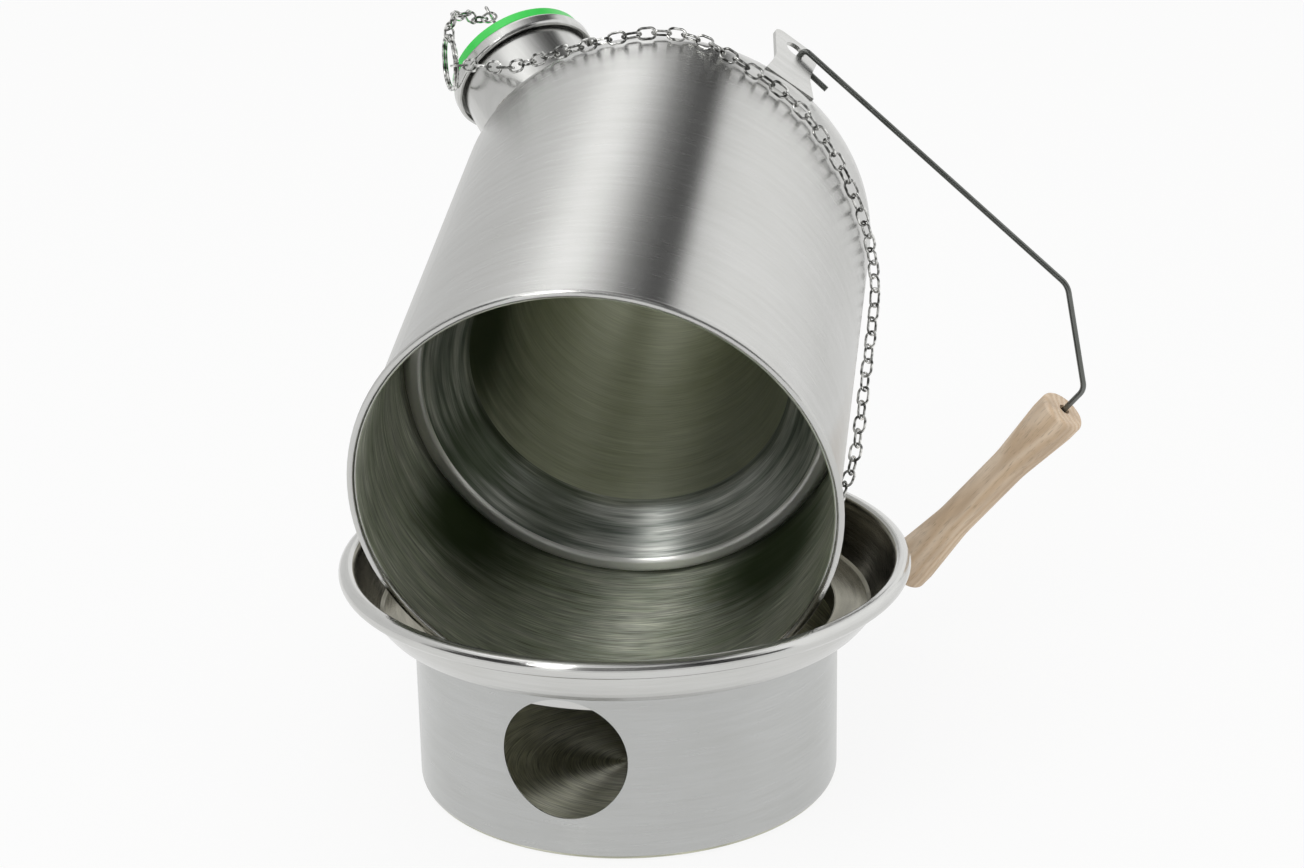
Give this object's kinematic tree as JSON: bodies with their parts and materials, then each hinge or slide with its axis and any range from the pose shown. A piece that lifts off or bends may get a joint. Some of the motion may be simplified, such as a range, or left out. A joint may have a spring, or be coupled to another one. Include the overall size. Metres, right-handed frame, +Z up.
{
  "type": "storm kettle",
  "caption": "Chimney storm kettle leaning in its round fire base, with a hinged wire bail, a wooden grip and a chained stopper in its side spout.",
  "frame": {"origin": "centre of the flat face under the fire base, on the ground", "axes": "+Z up; the picture was taken from -Y with +X to the right; the kettle leans back over the base towards +Y with its open rim facing -Y"},
  "size_m": [0.2516, 0.2814, 0.2311],
  "materials": {
    "base_steel": "fine circumferential brushing",
    "kettle_steel": "fine circumferential brushing",
    "inner_steel": "coarser brushed, dull",
    "dark_wire": "drawn wire, satin",
    "wood": "turned, unvarnished",
    "green_plastic": "moulded, glossy",
    "chain_metal": "bright plated wire"
  },
  "bodies": {
    "fire_base": {"base_drum": "base_steel", "base_collar": "base_steel"},
    "kettle": {"body_shell": "kettle_steel", "shoulder_top": "kettle_steel", "jacket_floor": "inner_steel", "flue": "inner_steel", "chimney_collar": "kettle_steel", "spout_tube": "kettle_steel", "ear_near": "kettle_steel", "ear_far": "kettle_steel", "chain_lug": "kettle_steel", "chain_free": "chain_metal", "chain_front": "chain_metal", "chain_side": "chain_metal", "chain_back": "chain_metal", "chain_end_ring": "chain_metal"},
    "bail": {"bail_wire": "dark_wire"},
    "bail_grip": {"grip": "wood"},
    "stopper": {"stopper_body": "green_plastic", "stopper_eye": "chain_metal", "tether_links": "chain_metal", "split_ring": "chain_metal"}
  },
  "joints": [
    {"name": "kettle_lift", "type": "slide", "parent": "fire_base", "child": "kettle", "axis": [0, 0, 1], "range_m": [0, 0.1]},
    {"name": "bail_swing", "type": "hinge", "parent": "kettle", "child": "bail", "pos_m": [0.01953, 0.12301, 0.15984], "axis": [0.574, -0.2852, 0.7676], "range_deg": [-8, 227.4]},
    {"name": "grip_spin", "type": "hinge", "parent": "bail", "child": "bail_grip", "pos_m": [0.12626, 0.08021, 0.06414], "axis": [0.574, -0.2852, 0.7676], "continuous": true},
    {"name": "stopper_pull", "type": "slide", "parent": "kettle", "child": "stopper", "axis": [-0.4234, 0.699, 0.5763], "range_m": [0, 0.02], "deforming": ["chain_free"]}
  ]
}
